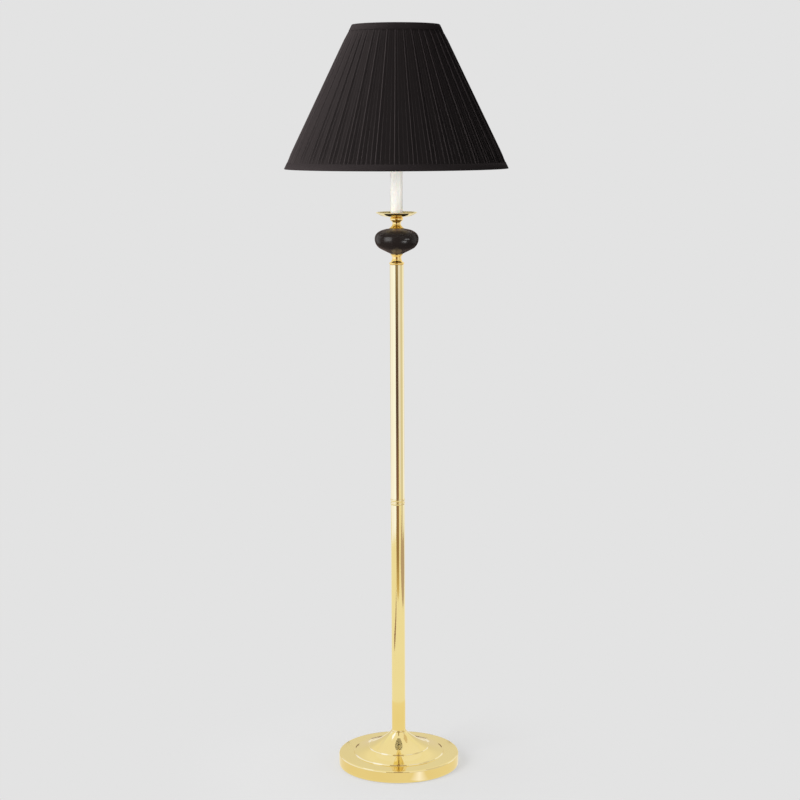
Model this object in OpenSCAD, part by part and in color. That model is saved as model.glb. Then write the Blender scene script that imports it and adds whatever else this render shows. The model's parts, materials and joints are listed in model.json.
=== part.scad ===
// Column floor lamp: a weighted brass base, a two-part column, a lacquered ball, a candle sleeve,
// a keyed lamp socket and a pleated shade that hangs from a harp. Millimetres, +Z up.
// The origin is on the floor under the middle of the base, and the front faces -Y.

/* [Base] */
// Diameter of the base over its rim
base_d = 254; // [240:1:300]
// Height of the rim's shoulder above the floor
rim_h = 25.4; // [22:0.2:34]
// Width of the flat ledge inside the rim
ledge_w = 30; // [24:0.5:36]
// Height of each of the two ring steps in the dome
step_h = 2.6; // [1.5:0.1:4]
// Rise of the dome from its foot to the top of its bell
dome_h = 45; // [38:0.5:56]
// Diameter of the bell where it meets the collar
bell_d = 32; // [31:0.5:40]
// Thickness of the spun brass
sheet_t = 1.2; // [0.8:0.1:1.6]
// Thickness of the felt under the base
felt_t = 2; // [1.5:0.5:3]
// Thickness of the iron weight's disc
weight_h = 16; // [15.5:0.5:18]

/* [Column] */
// Outer diameter of the two column tubes
tube_d = 28.6; // [26:0.2:30]
// Wall of the column tubes
tube_t = 0.9; // [0.6:0.1:1.5]
// Length of each column tube
tube_l = 489; // [300:1:700]
// Height of the collar under the lower tube
collar_h = 3; // [2.5:0.5:10]
// Height of the ring that joins the two tubes
ring_h = 12.5; // [9:0.5:20]
// Outer diameter of the threaded rods
rod_d = 9.6; // [9:0.1:10.2]
// Bore of the threaded rods, which the flex passes through
rod_bore_d = 6.6; // [6:0.2:7]

/* [Ball and candle] */
// Height of the turned neck under the ball
lower_neck_h = 22; // [19:0.5:34]
// Diameter of the black ball
ball_d = 90; // [70:1:120]
// Height of the black ball
ball_h = 51.6; // [40:0.5:70]
// Height of the turned neck over the ball
upper_neck_h = 24; // [21:0.5:36]
// Diameter of the drip pan
pan_d = 84.4; // [64:0.5:110]
// Depth of the drip pan
pan_h = 9.4; // [6:0.2:14]
// Diameter of the candle sleeve
candle_d = 25; // [23:0.5:28]
// Length of the candle sleeve
candle_l = 101.6; // [80:0.5:125]

/* [Socket and bulb] */
// Outer diameter of the socket's brass shell
socket_d = 33; // [33:0.1:35]
// Height of the socket from the saddle to the top of its shell
socket_h = 68; // [66:0.5:74]
// Diameter of the bulb's screw cap
bulb_cap_d = 26.2; // [25.8:0.1:26.4]
// Diameter of the bulb's glass
bulb_d = 60; // [44:1:66]
// Length of the bulb from the top of its cap to the end of its glass
bulb_l = 82; // [70:1:95]
// Diameter of the switch knob
knob_d = 11; // [8:0.5:14]

/* [Harp] */
// Height of the harp from its saddle to the seat of the shade
harp_h = 264; // [250:1:300]
// Width of the harp's bow between the centres of its wire
harp_w = 104; // [90:1:120]
// Width between the harp's legs where the ferrules grip them
leg_w = 60; // [58:0.5:66]
// Diameter of the harp's wire
wire_d = 4.2; // [3.6:0.1:4.6]
// Length of the sliding ferrules
ferrule_l = 16; // [15:0.5:18]

/* [Shade] */
// Outer diameter of the shade at its top edge
shade_top_d = 178; // [150:1:230]
// Outer diameter of the shade at its bottom edge
shade_bottom_d = 457; // [380:1:520]
// Height of the shade from edge to edge
shade_h = 287; // [250:1:320]
// Number of pleats round the shade
pleats = 150; // [90:2:160]
// Depth of a pleat at the shade's bottom edge
pleat_h = 2.4; // [1:0.1:3.5]
// Height of the binding tape on both edges
trim_h = 13; // [10:0.5:20]
// Drop of the spider's hub under the shade's top edge
hub_drop = 13.3; // [11:0.1:18]
// Diameter of the shade frame's wire
ring_wire_d = 3.2; // [2.4:0.1:4]

/* [Hidden] */
$fn = 96;

// Clearances: fit between a bore and what stays in it, running between pieces that move on each other,
// and seat between pieces that move and rest face to face
fit = 0.1;
running = 0.08;
seat = 0.05;
// How far a cutter runs past the face that it cuts, and how far one shape runs into the next in a piece
over = 1;
weld = 0.1;

// Colours
brass = [0.88, 0.73, 0.38];
steel = [0.68, 0.68, 0.70];
iron = [0.22, 0.22, 0.23];
black = [0.07, 0.06, 0.06];

// Round pieces that several others share
rod_r = rod_d / 2;
hole_r = rod_r + fit;
tube_r = tube_d / 2;
spigot_r = tube_r - tube_t - fit;
spigot_l = 9;
candle_r = candle_d / 2;
candle_t = 1.3;
wire_r = wire_d / 2;
ring_wire_r = ring_wire_d / 2;

// Heights of the stack, from the floor up
ledge_rise = 0.6;
foot_z = rim_h + ledge_rise;
bell_z = foot_z + dome_h;
lower_tube_z = bell_z + collar_h;
ring_z = lower_tube_z + tube_l;
upper_tube_z = ring_z + ring_h;
lower_neck_z = upper_tube_z + tube_l;
ball_z = lower_neck_z + lower_neck_h;
upper_neck_z = ball_z + ball_h;
pan_z = upper_neck_z + upper_neck_h;
pan_t = 1;
candle_z = pan_z + pan_t;
candle_top = candle_z + candle_l;
candle_cap_t = 3;
saddle_z = candle_top + candle_cap_t;
saddle_t = 1.6;
socket_z = saddle_z + saddle_t;
hub_z = socket_z + harp_h;
shade_top = hub_z + hub_drop;
shade_bottom = shade_top - shade_h;

// Curves in [radius, height]
function arc(centre, r, a0, a1, n) =
    [for (i = [0:n]) let (a = a0 + (a1 - a0) * i / n) centre + r * [cos(a), sin(a)]];
function bezier(a, b, c, d, n) =
    [for (i = [0:n]) let (t = i / n, u = 1 - t) u*u*u*a + 3*u*u*t*b + 3*u*t*t*c + t*t*t*d];
function ogee(a, b, n) = bezier(a, [(a.x + 2 * b.x) / 3, a.y], [(2 * a.x + b.x) / 3, b.y], b, n);
function raised(path, z) = [for (p = path) p + [0, z]];
function reversed(path) = [for (i = [len(path) - 1:-1:0]) path[i]];

// The same curve moved by t to its left
function left_of(v) = [-v.y, v.x] / norm(v);
function inset(path, t) = [for (i = [0:len(path) - 1])
    let (last = len(path) - 1,
         ahead = left_of(path[min(i + 1, last)] - path[min(i, last - 1)]),
         behind = left_of(path[max(i, 1)] - path[max(i - 1, 0)]))
    path[i] + t * (ahead + behind) / (1 + ahead * behind)];

// A sheet of thickness t spun round the axis, to the left of a path
module spun(path, t) {
    back = [for (p = reversed(inset(path, t))) [max(p.x, 0), p.y]];
    rotate_extrude() polygon(concat(path, back));
}

// A solid turned round the axis, with a hole of radius r through it
module turned(path, r) {
    low = path[0].y;
    high = path[len(path) - 1].y;
    rotate_extrude() polygon(concat([[r, low]], path, [[r, high]]));
}

// A pipe along Z
module pipe(r_out, r_in, z0, z1) {
    rotate_extrude() polygon([[r_in, z0], [r_out, z0], [r_out, z1], [r_in, z1]]);
}

// A round bar between two points
module bar(a, b, r) {
    v = b - a;
    translate(a) rotate([0, acos(v.z / norm(v)), atan2(v.y, v.x)]) cylinder(h = norm(v), r = r);
}

// A ring of round wire
module wire_ring(r, z, wire) {
    translate([0, 0, z]) rotate_extrude() translate([r, 0]) circle(r = wire, $fn = 32);
}

// Base: a ring step rises from the flat ledge to a hollow tier that steepens inwards, and a second
// ring step to the sweep of the bell
base_r = base_d / 2;
bell_r = bell_d / 2;
rim_lift = 1;
rim_edge_r = 3;
rim_roll = 87;
riser_w = 3.4;
tier_w = 28.2;
tier_rise = 8;
tier_out = [-9.6, 1.2];
tier_in = [8.6, -3.9];
sweep_pull = [-17, 7.3];
bell_pull = [8, -10];
step_r = base_r - ledge_w;
tier_r = step_r - riser_w;
inner_step_r = tier_r - tier_w;
sweep_r = inner_step_r - riser_w;
tier_z = foot_z + step_h;
inner_step_z = tier_z + tier_rise;
sweep_z = inner_step_z + step_h;
function past_first(path) = [for (i = [1:len(path) - 1]) path[i]];
function shell_path() = concat(
    [[base_r, rim_lift]],
    arc([base_r - rim_edge_r, rim_h - rim_edge_r], rim_edge_r, 0, rim_roll, 6),
    ogee([step_r, foot_z], [tier_r, tier_z], 6),
    past_first(bezier([tier_r, tier_z], [tier_r, tier_z] + tier_out,
                      [inner_step_r, inner_step_z] + tier_in, [inner_step_r, inner_step_z], 12)),
    past_first(ogee([inner_step_r, inner_step_z], [sweep_r, sweep_z], 6)),
    past_first(bezier([sweep_r, sweep_z], [sweep_r, sweep_z] + sweep_pull,
                      [bell_r, bell_z] + bell_pull, [bell_r, bell_z], 18)),
    [[hole_r, bell_z]]);

// The inlet of the flex is low in the rear of the rim
bushing_r = 5;
bushing_bore_r = 3.5;
flange_r = 7;
flange_t = 1.9;
barb = 0.7;
barb_l = 5;
inlet_z = 8.5;
module at_inlet() {
    translate([0, base_r, inlet_z]) rotate([-90, 0, 0]) children();
}

module base_shell() {
    color(brass) difference() {
        spun(shell_path(), sheet_t);
        at_inlet() translate([0, 0, -sheet_t - 2]) cylinder(h = sheet_t + 4, r = bushing_r + fit);
    }
}

// Split in the axis's direction: a flange outside, a barrel through the brass and a barb inside
module cord_bushing() {
    catch = sheet_t + 0.4;
    color(black) at_inlet() rotate_extrude() polygon([
        [bushing_bore_r, -catch - barb_l], [bushing_r - barb, -catch - barb_l],
        [bushing_r + barb, -catch - barb], [bushing_r + barb, -catch],
        [bushing_r, -catch], [bushing_r, seat],
        [flange_r, seat], [flange_r, flange_t - barb],
        [flange_r - barb, flange_t], [bushing_bore_r, flange_t]]);
}

// The weight bears on the shell's shoulder. The nut sits in its well, and the flex in its channel.
weight_gap = 3;
weight_r = base_r - sheet_t - weight_gap;
weight_rim_w = 12;
weight_top = rim_h - sheet_t - fit;
well_r = 24;
well_h = 20;
well_top = felt_t + well_h;
web_t = 8;
hub_r = 32;
draft = 4;
channel_w = 12.6;
channel_h = 13;
module base_weight() {
    disc_top = felt_t + weight_h;
    color(iron) difference() {
        rotate_extrude() polygon([
            [hole_r, well_top], [well_r, well_top], [well_r, felt_t], [weight_r, felt_t],
            [weight_r, weight_top], [weight_r - weight_rim_w, weight_top],
            [weight_r - weight_rim_w - draft, disc_top], [hub_r + draft, disc_top],
            [hub_r, well_top + web_t], [hole_r, well_top + web_t]]);
        translate([-channel_w / 2, 0, felt_t - over]) cube([channel_w, base_r, channel_h + over]);
    }
}

module base_felt() {
    color([0.10, 0.20, 0.14]) cylinder(h = felt_t, r = weight_r);
}

washer_r = 16;
washer_t = 1.6;
lock_r = 8;
lock_t = 1.4;
lock_gap = 1.2;
nut_h = 5;
nut_af = 15;
washer_z = well_top - washer_t;
lock_z = washer_z - lock_t;
nut_z = lock_z - nut_h;
module base_washer() {
    color(steel) pipe(washer_r, hole_r, washer_z, well_top);
}

// Split on one side
module lock_washer() {
    color(steel) difference() {
        pipe(lock_r, hole_r, lock_z, washer_z);
        translate([0, -lock_gap / 2, lock_z - over]) cube([lock_r + over, lock_gap, lock_t + 2 * over]);
    }
}

module base_nut() {
    color(steel) difference() {
        translate([0, 0, nut_z]) cylinder(h = nut_h, r = nut_af / 2 / cos(30), $fn = 6);
        translate([0, 0, nut_z - over]) cylinder(h = nut_h + 2 * over, r = hole_r);
    }
}

// Column: the tubes stand on spigots of the collar, the ring and the lower neck
collar_out = 0.7;
collar_bulge = 0.7;
collar_lip = 0.2;
soft_edge = 0.6;
module base_collar() {
    mid = bell_z + collar_h / 2;
    foot_r = tube_r + collar_out;
    bulge_r = foot_r + collar_bulge;
    lip_r = tube_r + collar_lip;
    color(brass) turned(concat(
        [[foot_r, bell_z]],
        bezier([foot_r, bell_z + soft_edge], [bulge_r, mid - soft_edge],
               [bulge_r, mid + soft_edge], [lip_r + collar_lip, lower_tube_z - soft_edge], 8),
        [[lip_r, lower_tube_z], [spigot_r, lower_tube_z], [spigot_r, lower_tube_z + spigot_l]]),
        hole_r);
}

module column_tube(z) {
    color(brass) pipe(tube_r, tube_r - tube_t, z, z + tube_l);
}
module lower_column() {
    column_tube(lower_tube_z);
}
module upper_column() {
    column_tube(upper_tube_z);
}

// Two beads with a groove between them. Both rods screw into it.
bead_out = 0.8;
groove_in = 0.5;
half_groove = 0.9;
module column_ring() {
    bead_r = (ring_h - 2 * half_groove) / 4;
    function bead(z) = [for (p = arc([0, 0], 1, -90, 90, 8))
        [tube_r - groove_in + (bead_out + groove_in) * p.x, z + bead_r * p.y]];
    color(brass) turned(concat(
        [[spigot_r, ring_z - spigot_l], [spigot_r, ring_z]],
        bead(ring_z + bead_r),
        bead(upper_tube_z - bead_r),
        [[spigot_r, upper_tube_z], [spigot_r, upper_tube_z + spigot_l]]),
        hole_r);
}

rod_bore_r = rod_bore_d / 2;
rod_past_nut = 3;
rod_low = nut_z - rod_past_nut;
rod_gap = 0.5;
rod_meet = ring_z + ring_h / 2;
cap_neck_h = 7;
module lower_rod() {
    color(steel) pipe(rod_r, rod_bore_r, rod_low, rod_meet - rod_gap / 2);
}
module upper_rod() {
    color(steel) pipe(rod_r, rod_bore_r, rod_meet + rod_gap / 2, socket_z + cap_neck_h);
}

// Lower neck: a bead at its foot, a waist and a lip under the ball
neck_lip_r = 1.4;
waist_r = 9;
module lower_neck() {
    foot_bead_r = 2.7;
    bead_c = tube_r - 1.7;
    lip_z = ball_z - 2 * neck_lip_r;
    shoulder_z = lower_neck_z + 2 * foot_bead_r + 0.2;
    mid = (shoulder_z + lip_z) / 2;
    color(brass) turned(concat(
        [[spigot_r, lower_neck_z - spigot_l], [spigot_r, lower_neck_z]],
        arc([bead_c, lower_neck_z + foot_bead_r], foot_bead_r, -80, 84, 10),
        bezier([waist_r + 3.6, shoulder_z], [waist_r + 1.2, shoulder_z + 1.8],
               [waist_r - 1, mid + 0.6], [waist_r + 1.9, lip_z], 12),
        arc([waist_r + 2, lip_z + neck_lip_r], neck_lip_r, -70, 84, 8)),
        hole_r);
}

// Ball: a foot that spreads like a cone, a full belly and a flatter crown
module ball() {
    foot_r = waist_r + 3.2;
    belly = [ball_d / 2, 0.6 * ball_h];
    turn = [0.74 * belly.x, 0.205 * ball_h];
    color(black) turned(raised(concat(
        bezier([foot_r, 0], [foot_r + 3, 0.035 * ball_h], [0.57 * belly.x, 0.125 * ball_h], turn, 10),
        bezier(turn, [0.86 * belly.x, 0.262 * ball_h], [belly.x, 0.4 * ball_h], belly, 12),
        bezier(belly, [belly.x, 0.8 * ball_h], [0.8 * belly.x, 0.96 * ball_h], [foot_r + 3, ball_h], 16)),
        ball_z), hole_r);
}

// Upper neck: a flared foot, a waist and an urn under the pan
module upper_neck() {
    foot_t = 1.6;
    urn_r = 4.4;
    urn_z = pan_z - urn_r;
    shank_z = upper_neck_z + foot_t;
    urn_foot_z = urn_z - urn_r + 0.2;
    color(brass) turned(concat(
        [[waist_r + 5.6, upper_neck_z], [waist_r + 6.1, shank_z - 0.4]],
        bezier([waist_r + 5.8, shank_z], [waist_r + 0.4, shank_z + 3.6],
               [waist_r - 2.8, urn_foot_z - 5.6], [waist_r + 1.3, urn_foot_z], 14),
        arc([waist_r, urn_z], urn_r, -70, 80, 12)),
        hole_r);
}

// Drip pan: flat under the candle, then a sweep up to a thin edge
module drip_pan() {
    flat_r = candle_r + 7.5;
    edge_r = 0.9;
    edge = [pan_d / 2 - edge_r, pan_z + pan_h - edge_r];
    color(brass) union() {
        spun(concat(
            [[hole_r, pan_z]],
            bezier([flat_r, pan_z], [flat_r + 7, pan_z + 0.06 * pan_h],
                   [flat_r + 14, pan_z + 0.28 * pan_h], edge - [0, pan_t / 2], 14)),
            pan_t);
        wire_ring(edge.x, edge.y, edge_r);
    }
}

seat_h = 6;
seat_chamfer = 1;
plug_r = candle_r - candle_t - fit;
module candle_seat() {
    color(brass) turned([
        [plug_r, candle_z], [plug_r, candle_z + seat_h - seat_chamfer],
        [plug_r - seat_chamfer, candle_z + seat_h]], hole_r);
}

module candle_sleeve() {
    color([0.94, 0.92, 0.89]) pipe(candle_r, candle_r - candle_t, candle_z, candle_top);
}

module candle_cap() {
    plug_l = 4;
    edge_r = 1.2;
    lip_r = candle_r + 0.9;
    color(brass) turned(concat(
        [[plug_r, candle_top - plug_l], [plug_r, candle_top]],
        [[lip_r, candle_top]],
        arc([lip_r - edge_r, saddle_z - edge_r], edge_r, 0, 90, 5)),
        hole_r);
}

// Harp: its legs lap against the saddle's posts, and the ferrules hold them together
leg_x = leg_w / 2;
bow_x = harp_w / 2;
lap_h = 11;
lap_z = socket_z + 1;
lap_gap = 0.1;
leg_l = 38;
bow_z = socket_z + leg_l;
bow_bend_r = 60;
bow_bend_a = acos(1 - (bow_x - leg_x) / (2 * bow_bend_r));
crown_flat = 8;
crown_r = bow_x - crown_flat;
stud_seat_t = 4;
apex_z = hub_z - stud_seat_t - wire_r;
crown_z = apex_z - crown_r;
module harp_saddle() {
    half_w = 6;
    post_h = socket_z + lap_h - saddle_z;
    color(brass) difference() {
        union() {
            translate([-leg_x, -half_w, saddle_z]) cube([2 * leg_x, 2 * half_w, saddle_t]);
            translate([0, 0, saddle_z]) cylinder(h = saddle_t, r = candle_r);
            for (side = [-1, 1]) translate([side * leg_x, 0, saddle_z]) {
                cylinder(h = saddle_t, r = half_w);
                intersection() {
                    cylinder(h = post_h, r = wire_r);
                    translate([side > 0 ? lap_gap / 2 : -wire_d, -wire_d, 0])
                        cube([wire_d - lap_gap / 2, 2 * wire_d, post_h]);
                }
            }
        }
        translate([0, 0, saddle_z - over]) cylinder(h = saddle_t + 2 * over, r = hole_r);
    }
}

// An arc of the harp's wire in the plane of the bow. The balls at its ends are a hair thicker than the
// wire, so that it closes on the stretches next to it.
ball_swell = 0.03;
module bend(x, z, r, a0, a1) {
    translate([x, 0, z]) rotate([90, 0, 0]) {
        rotate([0, 0, a0]) rotate_extrude(angle = a1 - a0) translate([r, 0]) circle(r = wire_r, $fn = 32);
        for (a = [a0, a1]) rotate([0, 0, a]) translate([r, 0, 0]) sphere(r = wire_r + ball_swell);
    }
}

module harp_side() {
    side_z = bow_z + 2 * bow_bend_r * sin(bow_bend_a);
    difference() {
        translate([leg_x, 0, lap_z]) cylinder(h = bow_z - lap_z, r = wire_r);
        translate([leg_x - lap_gap / 2, -wire_d, lap_z - over])
            cube([wire_d, 2 * wire_d, lap_h + over]);
    }
    bend(leg_x + bow_bend_r, bow_z, bow_bend_r, 180 - bow_bend_a, 180);
    bend(bow_x - bow_bend_r, side_z, bow_bend_r, -bow_bend_a, 0);
    translate([bow_x, 0, side_z]) cylinder(h = crown_z - side_z, r = wire_r);
    bend(crown_flat, crown_z, crown_r, 0, 90);
    bar([0, 0, apex_z], [crown_flat, 0, apex_z], wire_r);
}

module harp() {
    color(brass) union() {
        harp_side();
        mirror([1, 0, 0]) harp_side();
    }
}

// A ferrule stands on the saddle and grips both halves of the lap
ferrule_t = 1.2;
module ferrule(side) {
    out_r = wire_r + ferrule_t;
    low = socket_z + seat;
    high = low + ferrule_l;
    color(brass) translate([side * leg_x, 0, 0]) turned(concat(
        [[out_r, low], [out_r, high - 2 * soft_edge]],
        arc([out_r - soft_edge, high - soft_edge], soft_edge, 0, 80, 4)),
        wire_r + running);
}
module left_ferrule() {
    ferrule(-1);
}
module right_ferrule() {
    ferrule(1);
}

// The stud's block is drilled for the crown's wire, and its shoulder seats the shade's hub
stud_r = 3.1;
stud_block_r = 6;
hub_t = 1.6;
finial_h = 16;
stud_l = hub_t + 0.6 * finial_h;
stud_floor = 1.6;
module harp_stud() {
    low = apex_z - wire_r - stud_floor;
    color(brass) difference() {
        union() {
            translate([0, 0, low]) cylinder(h = hub_z - low, r = stud_block_r);
            translate([0, 0, hub_z]) cylinder(h = stud_l, r = stud_r);
        }
        translate([-stud_block_r - over, 0, apex_z]) rotate([0, 90, 0])
            cylinder(h = 2 * (stud_block_r + over), r = wire_r + fit / 2);
    }
}

// Socket: a cap on the rod, then the shell and its liner round the body with the switch
socket_r = socket_d / 2;
socket_wall = 0.5;
cap_neck_r = 7.5;
cap_top = 20;
shell_low = 15;
body_low = 16;
body_top = 38;
knob_z = socket_z + 27;
shaft_r = 1.6;
shaft_in = 2.4;
shaft_hole_end = shaft_in - 0.4;
module socket_cap() {
    cap_r = socket_r + seat + socket_wall;
    color(brass) difference() {
        union() {
            spun(raised(concat(
                [[hole_r, 0], [cap_neck_r, 0], [cap_neck_r, cap_neck_h - 1]],
                bezier([cap_neck_r + 0.5, cap_neck_h], [cap_r - 3, cap_neck_h + 1],
                       [cap_r, cap_neck_h + 3], [cap_r, cap_neck_h + 6], 8),
                [[cap_r, cap_top]]), socket_z), socket_wall);
            pipe(cap_neck_r - weld, hole_r, socket_z + weld, socket_z + cap_neck_h);
        }
        at_cap_screw() cylinder(h = cap_neck_r, r = cap_screw_r + seat);
    }
}

cap_screw_r = 1.5;
cap_screw_l = 6;
cap_screw_z = 3;
slot_depth = 0.8;
module slot(r, width, head_z) {
    translate([-r - over, -width / 2, head_z - slot_depth])
        cube([2 * (r + over), width, slot_depth + over]);
}
module at_cap_screw() {
    translate([0, hole_r, socket_z + cap_screw_z]) rotate([-90, 0, 0]) children();
}
module cap_screw() {
    color(steel) at_cap_screw() difference() {
        cylinder(h = cap_screw_l, r = cap_screw_r);
        slot(cap_screw_r, 0.5, cap_screw_l);
    }
}

// The way of the knob's shaft out of the socket's front
module shaft_hole(r) {
    translate([0, 0, knob_z]) rotate([90, 0, 0]) cylinder(h = socket_r + 2, r = r);
}

shaft_gap = 1;
module socket_shell() {
    color(brass) difference() {
        pipe(socket_r, socket_r - socket_wall, socket_z + shell_low, socket_z + socket_h);
        shaft_hole(shaft_r + shaft_gap);
    }
}

liner_r = socket_r - socket_wall - fit;
liner_t = 0.8;
module socket_liner() {
    color([0.62, 0.48, 0.33]) difference() {
        pipe(liner_r, liner_r - liner_t, socket_z + shell_low, socket_z + socket_h - 2);
        shaft_hole(shaft_r + shaft_gap);
    }
}

// Flats on both sides leave room for the terminal screws
body_r = liner_r - liner_t - fit;
body_flat = 11.4;
terminal_z = 23;
terminal_r = 1.6;
terminal_l = 3.8;
terminal_head_r = 3.2;
terminal_head_t = 1.6;
module at_terminals() {
    for (side = [0, 180]) rotate([0, 0, side])
        translate([body_flat, 0, socket_z + terminal_z]) rotate([0, 90, 0]) children();
}
module socket_body() {
    flat_h = terminal_z + 7 - body_low;
    hole_l = terminal_l + 0.2;
    color(black) difference() {
        translate([0, 0, socket_z + body_low]) cylinder(h = body_top - body_low, r = body_r);
        for (side = [0, 180]) rotate([0, 0, side])
            translate([body_flat, -body_r, socket_z + body_low - over])
                cube([body_r, 2 * body_r, flat_h + over]);
        at_terminals() translate([0, 0, -hole_l]) cylinder(h = hole_l + over, r = terminal_r + seat);
        translate([0, -shaft_hole_end, knob_z]) rotate([90, 0, 0])
            cylinder(h = body_r, r = shaft_r + running);
    }
}

module terminal_screws() {
    color(brass) at_terminals() difference() {
        union() {
            translate([0, 0, -terminal_l]) cylinder(h = terminal_l, r = terminal_r);
            cylinder(h = terminal_head_t, r = terminal_head_r);
        }
        slot(terminal_head_r, 0.8, terminal_head_t);
    }
}

// The screw shell stands on the body, and the contact comes up through its floor
cap_r = bulb_cap_d / 2;
screw_shell_r = cap_r + running;
contact_z = socket_z + body_top;
contact_h = 2.4;
module screw_shell() {
    floor_hole = 5;
    color(brass) union() {
        pipe(screw_shell_r + socket_wall, floor_hole, contact_z, contact_z + socket_wall);
        pipe(screw_shell_r + socket_wall, screw_shell_r, contact_z, socket_z + socket_h - 3);
    }
}

module centre_contact() {
    color(brass) turned(concat(
        [[3.4, contact_z], [3.4, contact_z + 0.6]],
        bezier([3, contact_z + 0.8], [2.8, contact_z + 1.6], [2, contact_z + contact_h],
               [0.6, contact_z + contact_h], 6)), 0.3);
}

// Switch: the shaft runs in the body, and the knob is fluted
knob_gap = 3;
knob_l = 10;
knob_floor = 2;
module knob_shaft() {
    color(brass) translate([0, -shaft_in, knob_z]) rotate([90, 0, 0])
        cylinder(h = socket_r + knob_gap + knob_l - knob_floor - shaft_in, r = shaft_r);
}

module switch_knob() {
    knob_r = knob_d / 2;
    flutes = 12;
    flute_r = 0.8;
    color(black) translate([0, -socket_r - knob_gap, knob_z]) rotate([90, 0, 0]) difference() {
        rotate_extrude() polygon([[0, 0], [knob_r - 0.8, 0], [knob_r, 0.8], [knob_r, knob_l - 1.2],
                                  [knob_r - 1.2, knob_l], [0, knob_l]]);
        translate([0, 0, -over]) cylinder(h = knob_l - knob_floor + over, r = shaft_r);
        for (i = [0:flutes - 1]) rotate([0, 0, 360 * i / flutes])
            translate([knob_r + 0.3, 0, 2 * flute_r]) cylinder(h = knob_l, r = flute_r, $fn = 24);
    }
}

// Bulb: a rolled screw cap, a glass insulator with its contact, and the glass
bulb_z = contact_z + contact_h + seat;
cap_low = bulb_z + 3;
cap_high = socket_z + socket_h - 1;
neck_in = 3;
module bulb_cap() {
    turns = 5;
    pitch = 3.6;
    thread_h = 0.7;
    thread_low = cap_low + 1.6;
    color([0.75, 0.75, 0.72]) spun(concat(
        [[cap_r - 2.4, cap_low], [cap_r - thread_h, thread_low]],
        [for (i = [1:6 * turns]) [cap_r - thread_h / 2 * (1 + cos(60 * i)), thread_low + pitch * i / 6]],
        [[cap_r - 0.3, cap_high]]), 0.3);
}

module bulb_insulator() {
    color(black) rotate_extrude() polygon([
        [0, bulb_z], [2.6, bulb_z], [3.6, bulb_z + 0.8], [4.2, bulb_z + 1.2],
        [cap_r - 3.6, cap_low - 0.1], [cap_r - 3.6, cap_low + 1.6], [0, cap_low + 1.6]]);
}

module bulb_glass() {
    neck_r = cap_r - 1.4;
    low = cap_high - neck_in;
    top = cap_high + bulb_l;
    belly_z = top - bulb_d / 2;
    color([0.96, 0.95, 0.92]) spun(concat(
        [[neck_r, low], [neck_r, cap_high]],
        bezier([neck_r + 0.4, cap_high + 3], [neck_r + 3, cap_high + 16],
               [bulb_d / 2, belly_z - 20], [bulb_d / 2, belly_z], 12),
        arc([0, belly_z], bulb_d / 2, 8, 90, 11)), 0.8);
}

// Shade: its outer line runs straight from edge to edge, and every layer follows it from inside. Square
// to this slope a layer is thinner than along the radius, by across.
tape_t = 0.7;
lining_t = 0.8;
pleat_top_h = pleat_h * shade_top_d / shade_bottom_d;
cloth_t = 0.5;
slope = (shade_bottom_d - shade_top_d) / 2 / shade_h;
across = sqrt(1 + slope * slope);
function shade_r(z) = shade_bottom_d / 2 - slope * (z - shade_bottom);
function pleat_at(z) = pleat_h + (pleat_top_h - pleat_h) * (z - shade_bottom) / shade_h;
function crest_r(z) = shade_r(z) - across * (tape_t + fit);
function lining_r(z) = crest_r(z) - pleat_at(z) - cloth_t - fit;
edge_gap = tape_t + fit;
lining_low = shade_bottom + edge_gap;
lining_high = shade_top - edge_gap;
frame_gap = 0.4;
top_ring_z = lining_high - ring_wire_r;
bottom_ring_z = lining_low + ring_wire_r;
top_ring_r = lining_r(lining_high) - lining_t - ring_wire_r - frame_gap;
bottom_ring_r = lining_r(bottom_ring_z + ring_wire_r) - lining_t - ring_wire_r - frame_gap;

module shade_lining() {
    slant = lining_t * sqrt(1 + pow((lining_r(lining_low) - lining_r(lining_high)) / shade_h, 2));
    color([0.93, 0.92, 0.88]) rotate_extrude() polygon([
        [lining_r(lining_low), lining_low], [lining_r(lining_high), lining_high],
        [lining_r(lining_high) - slant, lining_high], [lining_r(lining_low) - slant, lining_low]]);
}

// Knife pleats: each rises steeply to its crest and falls away slowly to the next valley
module shade_cover() {
    lean = 0.32;
    count = 2 * pleats;
    function turn(i) = 360 / pleats * (floor(i / 2) + (i % 2) * lean);
    function ring(z, outside) = [for (i = [0:count - 1])
        let (r = outside ? crest_r(z) - (1 - i % 2) * pleat_at(z) : lining_r(z) + fit)
        [r * cos(turn(i)), r * sin(turn(i)), z]];
    corners = concat(ring(lining_low, true), ring(lining_high, true),
                     ring(lining_high, false), ring(lining_low, false));
    faces = [for (k = [0:3], i = [0:count - 1])
        let (j = (i + 1) % count, a = k * count, b = ((k + 1) % 4) * count)
        each [[a + i, b + i, b + j], [a + i, b + j, a + j]]];
    color([0.15, 0.13, 0.13]) polyhedron(points = corners, faces = faces);
}

// Binding tape: it runs up the outside, round the edge and over the frame's ring inside, where the
// spider's arms come through it
module top_trim() {
    inner_r = top_ring_r - ring_wire_r - frame_gap;
    low = shade_top - trim_h;
    color([0.13, 0.11, 0.11]) difference() {
        spun([
            [shade_r(low), low], [shade_r(shade_top), shade_top],
            [inner_r - tape_t, shade_top], [inner_r - tape_t, top_ring_z - ring_wire_r]], tape_t);
        spider_arms(arm_r + fit);
    }
}

module bottom_trim() {
    inner_r = bottom_ring_r - ring_wire_r - frame_gap;
    high = shade_bottom + trim_h;
    color([0.13, 0.11, 0.11]) spun([
        [inner_r - tape_t, bottom_ring_z + ring_wire_r], [inner_r - tape_t, shade_bottom],
        [shade_r(shade_bottom), shade_bottom], [shade_r(high), high]], tape_t);
}

module top_ring() {
    color(brass) wire_ring(top_ring_r, top_ring_z, ring_wire_r);
}
module bottom_ring() {
    color(brass) wire_ring(bottom_ring_r, bottom_ring_z, ring_wire_r);
}

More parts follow.
